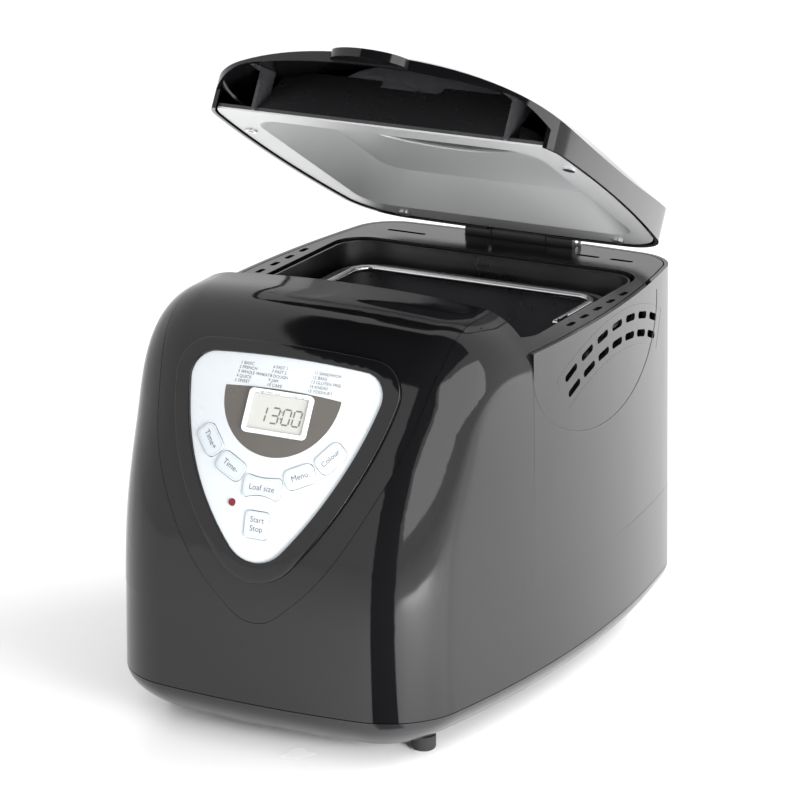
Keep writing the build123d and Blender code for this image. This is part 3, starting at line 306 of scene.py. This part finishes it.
def smooth_copy(node, angle=32.0, edge_round=0.0):
    """A merged, smooth-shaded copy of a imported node, in its place, its sharp edges rounded if asked."""
    mesh = bmesh.new()
    mesh.from_mesh(nodes[node].data)
    bmesh.ops.remove_doubles(mesh, verts=mesh.verts, dist=2e-6)
    bmesh.ops.dissolve_degenerate(mesh, edges=mesh.edges, dist=1e-6)
    for f in mesh.faces:
        f.smooth = True
    for e in mesh.edges:
        sharp = len(e.link_faces) != 2 or e.calc_face_angle(0.0) > radians(angle)
        e.smooth = not sharp
    if edge_round:
        worn = [e for e in mesh.edges if len(e.link_faces) == 2 and e.calc_face_angle(0.0) > radians(55)]
        bmesh.ops.bevel(mesh, geom=worn, offset=edge_round, segments=3, profile=0.5, affect="EDGES")
        for f in mesh.faces:
            f.smooth = True
        for e in mesh.edges:
            e.smooth = len(e.link_faces) == 2 and e.calc_face_angle(0.0) < radians(angle)
    data = bpy.data.meshes.new(node + "_fine")
    mesh.to_mesh(data)
    mesh.free()
    for m in nodes[node].data.materials:
        data.materials.append(m)
    piece = bpy.data.objects.new(node + "_fine", data)
    bpy.context.scene.collection.objects.link(piece)
    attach(piece, body_of[node])
    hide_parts(node)
    return piece


for name in ("outer_shell", "front_fascia", "panel_bezel", "lid_shell", "lid_tab", "lid_window",
             "lid_liner", "control_panel", "display_mask", "base_tray", "rim_frame", "bread_pan",
             "baking_chamber", "pan_handle", "heating_element", "rubber_feet"):
    piece = smooth_copy(name, edge_round=0.0007 if name == "panel_bezel" else 0.0)
    print(piece.name, len(piece.data.polygons), "faces")

# %% [markdown]
# ## What is printed on the panel
# The panel's face is curved, so print can't simply float in front of it. Each flat drawing is made in
# the panel's own plane, and every corner of it is then dropped straight back onto the piece below,
# and lifted by five hundredths of a millimetre so that it lies on the surface like ink.

# %% The panel's own plane
panel_tilt = radians(22.0)
panel_up = Vector((0, sin(panel_tilt), cos(panel_tilt)))
panel_out = Vector((0, -cos(panel_tilt), sin(panel_tilt)))
trees = {}


def tree_of(node):
    """Something to drop points onto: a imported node's surface."""
    if node not in trees:
        data = nodes[node].data
        corners = [v.co for v in data.vertices]
        trees[node] = BVHTree.FromPolygons(corners, [p.vertices for p in data.polygons])
    return trees[node]


low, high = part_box("display_frame")
eye, facing, _, _ = tree_of("control_panel").ray_cast(Vector((0.04, -1, 0.189)), Vector((0, 1, 0)))
eye.x = 0.0
print("display centre", [round(v, 4) for v in eye])


def drop(x, v, node, lift=0.00005):
    """The point of a node's surface at x and v on the panel, in millimetres."""
    start = eye + Vector((x * 0.001, 0, 0)) + panel_up * (v * 0.001) + panel_out * 0.05
    hit, normal, _, _ = tree_of(node).ray_cast(start, -panel_out)
    return None if hit is None else hit + panel_out * lift


def onto(name, flat, faces, node, material, body, lift=0.00005):
    """A flat drawing, as points and faces, laid on a node."""
    points = [drop(x, v, node, lift) for x, v in flat]
    faces = [f for f in faces if all(points[i] is not None for i in f)]
    used = sorted({i for f in faces for i in f})
    place = {old: new for new, old in enumerate(used)}
    data = bpy.data.meshes.new(name)
    data.from_pydata([points[i] for i in used], [], [[place[i] for i in f] for f in faces])
    data.materials.append(material)
    piece = bpy.data.objects.new(name, data)
    bpy.context.scene.collection.objects.link(piece)
    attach(piece, body)
    return piece


# %% Lettering as flat outlines
def lettering(text, size, x, v, spin=0.0, align="CENTER"):
    """Points and faces of a line of text, in millimetres on the panel."""
    curve = bpy.data.curves.new("text", "FONT")
    curve.body = text
    curve.size = size
    curve.align_x = align
    curve.align_y = "CENTER"
    curve.resolution_u = 3
    holder = bpy.data.objects.new("text", curve)
    bpy.context.scene.collection.objects.link(holder)
    bpy.context.view_layer.update()
    flat = bpy.data.meshes.new_from_object(holder.evaluated_get(bpy.context.evaluated_depsgraph_get()))
    c, s = cos(radians(spin)), sin(radians(spin))
    points = [(x + p.co.x * c - p.co.y * s, v + p.co.x * s + p.co.y * c) for p in flat.vertices]
    faces = [list(f.vertices) for f in flat.polygons]
    bpy.data.objects.remove(holder)
    bpy.data.meshes.remove(flat)
    return points, faces


def gather(drawings):
    """Several drawings as one."""
    points, faces = [], []
    for more, shapes in drawings:
        faces += [[i + len(points) for i in f] for f in shapes]
        points += more
    return points, faces


programmes = (("1 BASIC", "2 FRENCH", "3 WHOLE WHEAT", "4 QUICK", "5 SWEET"),
              ("6 FAST 1", "7 FAST 2", "8 DOUGH", "9 JAM", "10 CAKE"),
              ("11 SANDWICH", "12 BAKE", "13 GLUTEN FREE", "14 KNEAD", "15 YOGHURT"))
lines = []
for column, (left, words) in enumerate(zip((-30.0, -9.5, 16.0), programmes)):
    for row, word in enumerate(words):
        lines.append(lettering(word, 2.5, left - row * 0.35, 25.4 - row * 2.55, 0.0, "LEFT"))
points, faces = gather(lines)
piece = onto("programme_list", points, faces, "control_panel", ink_grey, "casing")
print(piece.name, len(piece.data.polygons), "faces")

# %% Key legends, each on its own key
legends = {
    "time_up_key": ("Time+", 4.6, (-37.5, -19.5), -50),
    "time_down_key": ("Time-", 4.6, (-21.5, -32.0), -26),
    "loaf_size_key": ("Loaf size", 4.6, (0, -41.5), 0),
    "menu_key": ("Menu", 4.6, (21.5, -32.0), 26),
    "crust_key": ("Colour", 4.3, (37.5, -19.5), 50),
}
for key, (word, size, (x, v), spin) in legends.items():
    points, faces = lettering(word, size, x, v, spin)
    onto(key + "_legend", points, faces, key, ink_grey, body_of[key])
points, faces = gather([lettering("Start", 4.5, 0, -59.0), lettering("Stop", 4.5, 0, -63.9)])
onto("start_stop_legend", points, faces, "start_stop_key", ink_grey, body_of["start_stop_key"])
print("legends", len(legends) + 1)


# %% [markdown]
# ### Lines round the keys
# Each key has a fine blue-grey line just inside its edge. The line follows an outline built from given
# sizes: a round-cornered one for most keys, and a bow tie for the loaf key.

# %% Outlines
def rounded(width, height, radius, steps=8):
    """Corner points of a round-cornered rectangle, in order."""
    loop = []
    for i, (sx, sy) in enumerate(((1, 1), (-1, 1), (-1, -1), (1, -1))):
        for k in range(steps + 1):
            a = radians(90) * (i + k / steps)
            middle_x, middle_v = sx * (width / 2 - radius), sy * (height / 2 - radius)
            loop.append((middle_x + radius * cos(a), middle_v + radius * sin(a)))
    return loop


def bow_tie(inset, width=23.0, height=14.5, top_waist=1.8, low_waist=3.2, radius=2.4, steps=12):
    """The loaf key: a round-cornered outline whose long sides are then pulled in at the middle."""
    half, rise = width / 2 - inset, height / 2 - inset
    long_side = [half - radius - 2 * (half - radius) * k / steps for k in range(1, steps)]
    corners = rounded(2 * half, 2 * rise, radius)
    loop = corners[:9] + [(x, rise) for x in long_side] + corners[9:27]
    loop += [(-x, -rise) for x in long_side] + corners[27:]
    pinched = []
    for x, v in loop:
        waist = top_waist if v > 0 else -low_waist
        pinched.append((x, v - waist * (1 - (x / half) ** 2) * min(1.0, abs(v) / (0.8 * rise))))
    return pinched


def ring_of(outer, inner, x, v, spin):
    """A thin closed strip between two loops with the same number of points."""
    c, s = cos(radians(spin)), sin(radians(spin))
    points = [(x + px * c - pv * s, v + px * s + pv * c) for px, pv in outer + inner]
    n = len(outer)
    return points, [[i, (i + 1) % n, n + (i + 1) % n, n + i] for i in range(n)]


line = 0.35
inset = 0.7
for key, (_, _, (x, v), spin) in legends.items():
    if key == "loaf_size_key":
        continue
    loops = [rounded(18 - 2 * d, 11.5 - 2 * d, 3.8 - d) for d in (inset, inset + line)]
    onto(key + "_line", *ring_of(*loops, x, v, spin), key, ink_blue, body_of[key])
loops = [rounded(14.5 - 2 * d, 15 - 2 * d, 2.6 - d) for d in (inset, inset + line)]
onto("start_stop_line", *ring_of(*loops, 0, -61.5, 0), "start_stop_key", ink_blue, body_of["start_stop_key"])
loops = [bow_tie(d) for d in (inset, inset + line)]
onto("loaf_size_line", *ring_of(*loops, 0, -41.25, 0), "loaf_size_key", ink_blue, body_of["loaf_size_key"])
print("outlines drawn")

# %% [markdown]
# ### Figures in the display
# A liquid crystal display makes each figure from seven bars with pointed ends. One bar is drawn once,
# and a table says which bars each figure uses.

# %% Seven-bar figures
bars = {"a": (0, 1, 0), "b": (0.5, 0.5, 90), "c": (0.5, -0.5, 90), "d": (0, -1, 0), "e": (-0.5, -0.5, 90),
        "f": (-0.5, 0.5, 90), "g": (0, 0, 0)}
shapes_of = {"0": "abcdef", "1": "bc", "3": "abcdg"}


def figure(sign, x, v, height=8.6, width=4.6, thick=0.95, slant=0.08):
    """One figure's bars, in millimetres."""
    drawings = []
    for bar in shapes_of[sign]:
        bx, bv, turn = bars[bar]
        length = (height / 2 if turn else width) - 0.5
        half = length / 2
        outline = [(-half, 0), (-half + thick / 2, thick / 2), (half - thick / 2, thick / 2), (half, 0),
                   (half - thick / 2, -thick / 2), (-half + thick / 2, -thick / 2)]
        place = []
        for px, pv in outline:
            qx, qv = (px, pv) if not turn else (-pv, px)
            qx, qv = qx + bx * width, qv + bv * height / 2
            place.append((x + qx + qv * slant, v + qv))
        drawings.append((place, [list(range(6))]))
    return drawings


drawings = []
for sign, x in (("1", -9.5), ("3", -1.5), ("0", 5.6), ("0", 12.2)):
    drawings += figure(sign, x, -1.2)
for dot in (0.9, -2.9):
    drawings.append(([(1.9, dot), (2.6, dot), (2.6, dot + 0.8), (1.9, dot + 0.8)], [[0, 1, 2, 3]]))
points, faces = gather(drawings)
piece = onto("display_figures", points, faces, "display_glass", lcd_dark, "casing")
print(piece.name, len(piece.data.polygons), "bars")
scale_words = gather([lettering("Light  Medium  Dark", 1.5, -7.2, 10.9),
                      lettering("1.0 kg  1.5 kg", 1.5, 10.0, 10.9)])
onto("display_scale", *scale_words, "display_frame", ink_grey, "casing")

# %% [markdown]
# ## A fine bead on each side
# A thin moulded line sweeps in an ellipse below the side vents. It follows a curve, so Geometry Nodes
# make it: a curve goes in, a round profile is swept along it, and a material is set. The radius is a
# named input, and the same tree serves both sides.

# %% The bead's node tree
def bead_tree():
    tree = bpy.data.node_groups.new("bead_along_curve", "GeometryNodeTree")
    tree.is_modifier = True
    for label, kind, way in (("Geometry", "NodeSocketGeometry", "INPUT"),
                             ("Radius", "NodeSocketFloat", "INPUT"),
                             ("Sides", "NodeSocketInt", "INPUT"), ("Finish", "NodeSocketMaterial", "INPUT"),
                             ("Geometry", "NodeSocketGeometry", "OUTPUT")):
        tree.interface.new_socket(name=label, in_out=way, socket_type=kind)
    n_in, n_out = tree.nodes.new("NodeGroupInput"), tree.nodes.new("NodeGroupOutput")
    profile = tree.nodes.new("GeometryNodeCurvePrimitiveCircle")
    sweep = tree.nodes.new("GeometryNodeCurveToMesh")
    sweep.inputs["Fill Caps"].default_value = True
    smooth = tree.nodes.new("GeometryNodeSetShadeSmooth")
    real = tree.nodes.new("GeometryNodeRealizeInstances")
    paint_it = tree.nodes.new("GeometryNodeSetMaterial")
    link = tree.links.new
    link(n_in.outputs["Radius"], profile.inputs["Radius"])
    link(n_in.outputs["Sides"], profile.inputs["Resolution"])
    link(n_in.outputs["Geometry"], sweep.inputs["Curve"])
    link(profile.outputs[0], sweep.inputs["Profile Curve"])
    link(sweep.outputs[0], smooth.inputs["Geometry"])
    link(smooth.outputs[0], real.inputs["Geometry"])
    link(real.outputs[0], paint_it.inputs["Geometry"])
    link(n_in.outputs["Finish"], paint_it.inputs["Material"])
    link(paint_it.outputs[0], n_out.inputs["Geometry"])
    return tree


bead = bead_tree()
print("tree", bead.name, [i.name for i in bead.interface.items_tree])


# %% Run a tree and keep its plain mesh
def grown(name, holder, tree, values, body):
    """Puts tree on holder as a modifier, sets named inputs, and keeps the result as a plain mesh."""
    modifier = holder.modifiers.new("made", "NODES")
    modifier.node_group = tree
    for item in tree.interface.items_tree:
        if item.in_out == "INPUT" and item.name in values:
            modifier[item.identifier] = values[item.name]
    bpy.context.view_layer.update()
    done = holder.evaluated_get(bpy.context.evaluated_depsgraph_get())
    data = bpy.data.meshes.new_from_object(done)
    bpy.data.objects.remove(holder)
    piece = bpy.data.objects.new(name, data)
    bpy.context.scene.collection.objects.link(piece)
    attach(piece, body)
    return piece


def curve_through(points, closed=False):
    """A curve object through points."""
    data = bpy.data.curves.new("path", "CURVE")
    data.dimensions = "3D"
    spline = data.splines.new("POLY")
    spline.points.add(len(points) - 1)
    for p, q in zip(spline.points, points):
        p.co = (*q, 1)
    spline.use_cyclic_u = closed
    holder = bpy.data.objects.new("path", data)
    bpy.context.scene.collection.objects.link(holder)
    return holder


def on_side(side, y, z, depth=0.0):
    """The point of the casing's side wall at y and z."""
    hit, _, _, _ = tree_of("outer_shell").ray_cast(Vector((side * 0.3, y, z)), Vector((-side, 0, 0)))
    if hit is None or hit.x * side < 0.1:
        return None
    return hit - Vector((side * depth, 0, 0))


for side, label in ((1, "right"), (-1, "left")):
    path = []
    for k in range(81):
        a = radians(176 + (364 - 176) * k / 80)
        y, z = 0.0335 + 0.088 * cos(a), 0.205 + 0.052 * sin(a)
        path.append(on_side(side, y, z, 0.0002))
    path = [p for p in path if p]
    piece = grown("side_bead_" + label, curve_through(path), bead,
                  {"Radius": 0.00045, "Sides": 10, "Finish": gloss_black}, "casing")
    print(piece.name, len(piece.data.polygons), "faces")

# %% A fine line round each field of vents
for side, label in ((1, "right"), (-1, "left")):
    path = []
    for radius, turns in ((0.1805, range(-26, 27, 2)), (0.157, range(26, -27, -2))):
        for degrees in turns:
            a = radians(degrees)
            path.append(on_side(side, 0.051 + radius * sin(a), 0.032 + radius * cos(a), 0.0003))
    path = [p for p in path if p]
    piece = grown("vent_line_" + label, curve_through(path, True), bead,
                  {"Radius": 0.0004, "Sides": 8, "Finish": deep_black}, "casing")
    print(piece.name, len(piece.data.polygons), "faces")

# %% [markdown]
# ## Cross recesses in the screws, as painted shade
# The four screws that hold the liner and the four under the tray are cross-headed. The recess is not cut:
# each head gets a thin dark cross, painted shade where the hollow would be. One small tree makes the cross
# from two bars, places it on every point it is given, and sets its finish. Its sizes and tilt are named
# inputs, so the same tree serves the tilted lid and the level tray.

# %% The cross tree
def cross_tree():
    tree = bpy.data.node_groups.new("cross_on_points", "GeometryNodeTree")
    tree.is_modifier = True
    for label, kind, way in (("Geometry", "NodeSocketGeometry", "INPUT"),
                             ("Length", "NodeSocketFloat", "INPUT"),
                             ("Width", "NodeSocketFloat", "INPUT"), ("Height", "NodeSocketFloat", "INPUT"),
                             ("Tilt", "NodeSocketFloat", "INPUT"), ("Finish", "NodeSocketMaterial", "INPUT"),
                             ("Geometry", "NodeSocketGeometry", "OUTPUT")):
        tree.interface.new_socket(name=label, in_out=way, socket_type=kind)
    n_in, n_out = tree.nodes.new("NodeGroupInput"), tree.nodes.new("NodeGroupOutput")
    link = tree.links.new
    both = tree.nodes.new("GeometryNodeJoinGeometry")
    for first, second in (("Length", "Width"), ("Width", "Length")):
        bar = tree.nodes.new("GeometryNodeMeshCube")
        size = tree.nodes.new("ShaderNodeCombineXYZ")
        link(n_in.outputs[first], size.inputs["X"])
        link(n_in.outputs[second], size.inputs["Y"])
        link(n_in.outputs["Height"], size.inputs["Z"])
        link(size.outputs[0], bar.inputs["Size"])
        link(bar.outputs["Mesh"], both.inputs[0])
    turn = tree.nodes.new("ShaderNodeCombineXYZ")
    spread = tree.nodes.new("GeometryNodeInstanceOnPoints")
    real = tree.nodes.new("GeometryNodeRealizeInstances")
    paint_it = tree.nodes.new("GeometryNodeSetMaterial")
    link(n_in.outputs["Tilt"], turn.inputs["X"])
    link(n_in.outputs["Geometry"], spread.inputs["Points"])
    link(both.outputs[0], spread.inputs["Instance"])
    link(turn.outputs[0], spread.inputs["Rotation"])
    link(spread.outputs[0], real.inputs["Geometry"])
    link(real.outputs[0], paint_it.inputs["Geometry"])
    link(n_in.outputs["Finish"], paint_it.inputs["Material"])
    link(paint_it.outputs[0], n_out.inputs["Geometry"])
    return tree


crosses = cross_tree()
print("tree", crosses.name, [i.name for i in crosses.interface.items_tree])

# %% A cross on every screw head
def heads(node, facing):
    """The middle of each of a node's four screw heads, on the side that faces out."""
    points = [v.co.copy() for v in nodes[node].data.vertices]
    middle = sum(points, Vector()) / len(points)
    found = []
    for sx in (-1, 1):
        for sy in (-1, 1):
            own = [p for p in points if (p.x - middle.x) * sx > 0 and (p.y - middle.y) * sy > 0]
            top = max(p.dot(facing) for p in own)
            rim = [p for p in own if p.dot(facing) > top - 0.0001]
            spans = [(min(p[i] for p in rim) + max(p[i] for p in rim)) / 2 for i in range(3)]
            found.append(Vector(spans))
    return found


lid_down = Vector((0, -sin(radians(30)), -cos(radians(30))))
for name, node, facing, tilt, body in (
        ("liner_crosses", "liner_screws", lid_down, radians(-30), "lid"),
        ("tray_crosses", "case_screws", Vector((0, 0, -1)), 0.0, "casing")):
    data = bpy.data.meshes.new(name)
    data.from_pydata(heads(node, facing), [], [])
    holder = bpy.data.objects.new(name, data)
    bpy.context.scene.collection.objects.link(holder)
    # Each cross is a thin deep black sheet on the head: painted shade where the recess would be, not a cut.
    piece = grown(name, holder, crosses, {"Length": 0.0034, "Width": 0.0009, "Height": 0.00012,
                                          "Tilt": tilt, "Finish": deep_black}, body)
    print(piece.name, len(piece.data.polygons), "faces")

# %% [markdown]
# ## Floor, light and camera
# Gloss black shows only what it reflects, so the surround does most of the work: a pale floor, a
# bright surround, a strong soft lamp behind on the right that makes the floor there brighter than
# white, a dark flag towards the front that gives the corner its narrow black reflection, another
# overhead that darkens the hood, and a bright card on the right for the shoulder behind the corner.

# %% Floor
bpy.ops.mesh.primitive_plane_add(size=40, location=(0, 0, 0))
floor = bpy.context.object
floor.name = "floor"
pale = finish("pale_floor", (0.90, 0.90, 0.90), (0.92, 0.92, 0.92), 0.2, 0.28, 3.0, 50.0, 0.1, 0.01)
floor.data.materials.append(pale)

# %% Surround
world = bpy.context.scene.world or bpy.data.worlds.new("studio")
bpy.context.scene.world = world
world.use_nodes = True
world.node_tree.nodes["Background"].inputs["Color"].default_value = (1.0, 1.0, 1.0, 1)
world.node_tree.nodes["Background"].inputs["Strength"].default_value = 1.0
bpy.context.scene.view_settings.view_transform = "Standard"


# %% Lamps
def lamp(name, place, target, size, power):
    data = bpy.data.lights.new(name, "AREA")
    data.shape = "RECTANGLE"
    data.size, data.size_y = size
    data.energy = power
    o = bpy.data.objects.new(name, data)
    bpy.context.scene.collection.objects.link(o)
    o.location = place
    o.rotation_euler = (Vector(target) - Vector(place)).to_track_quat("-Z", "Y").to_euler()
    return o


lamp("back_right_box", (0.95, 0.95, 0.9), (0.5, 0.5, 0.0), (1.0, 1.0), 30)
lamp("front_left_box", (-1.2, -1.6, 1.1), (0, 0, 0.2), (1.0, 1.0), 10)
lamp("liner_fill", (0.55, -0.38, 0.14), (0.05, 0.05, 0.31), (0.3, 0.25), 10)
for o in bpy.data.objects:
    if o.type == "LIGHT":
        o.visible_glossy = o.visible_camera = False


# %% Flags and a bright card, seen only in reflections
def card(name, corners, light):
    data = bpy.data.meshes.new(name)
    data.from_pydata(corners, [], [list(range(len(corners)))])
    m = bpy.data.materials.new(name)
    m.use_nodes = True
    shader = m.node_tree.nodes["Principled BSDF"]
    shader.inputs["Base Color"].default_value = (0, 0, 0, 1)
    shader.inputs["Specular IOR Level"].default_value = 0.0
    shader.inputs["Emission Color"].default_value = (1, 1, 1, 1)
    shader.inputs["Emission Strength"].default_value = light
    data.materials.append(m)
    o = bpy.data.objects.new(name, data)
    bpy.context.scene.collection.objects.link(o)
    o.visible_camera = o.visible_diffuse = o.visible_shadow = o.visible_transmission = False
    return o


def fan_on_floor(apex, start, end, near, far, z):
    """Corners of a wedge on the floor, between two compass angles from -Y towards +X."""
    corners = []
    for distance, angles in ((near, (start, end)), (far, (end, start))):
        for a in angles:
            corners.append((apex[0] + distance * sin(radians(a)), apex[1] - distance * cos(radians(a)), z))
    return corners


start, end, reach = 4, 34, 2.6  # degrees from -Y towards +X, and metres
apex = (0.071, -0.1225)
card("flag_on_floor", fan_on_floor(apex, start, end, 0.052, reach, 0.0006), 0.0)
foot = fan_on_floor(apex, start, end, 0.052, reach, 0.0006)[2:]
card("flag_upright", [*foot, *[(x, y, 2.4) for x, y, _ in reversed(foot)]], 0.0)
card("flag_overhead", [(-0.95, -1.7, 1.7), (1.2, -2.3, 1.7), (1.2, 0.3, 1.7), (-0.8, 0.35, 1.7)], 0.0)
foot = fan_on_floor(apex, 38, 112, 0.052, reach, 0.0)[2:]
card("light_on_the_right", [*[(x, y, 0.35) for x, y, _ in foot],
                            *[(x, y, 2.2) for x, y, _ in reversed(foot)]], 3.2)

# %% Camera
camera = bpy.data.objects.new("camera", bpy.data.cameras.new("camera"))
bpy.context.scene.collection.objects.link(camera)
camera.data.lens = 189.0
camera.data.sensor_width = 36.0
camera.data.clip_end = 60.0
camera.location = (1.07833, -2.04639, 0.87684)
forward = Vector((-0.44468, 0.84520, -0.29646)).normalized()
right = Vector((cos(radians(27.75)), sin(radians(27.75)), 0))
tilt = radians(-0.14)
up = right.cross(forward)
side_axis = right * cos(tilt) + up * sin(tilt)
up = up * cos(tilt) - right * sin(tilt)
camera.rotation_euler = Matrix((side_axis, up, -forward)).transposed().to_euler()
bpy.context.scene.camera = camera
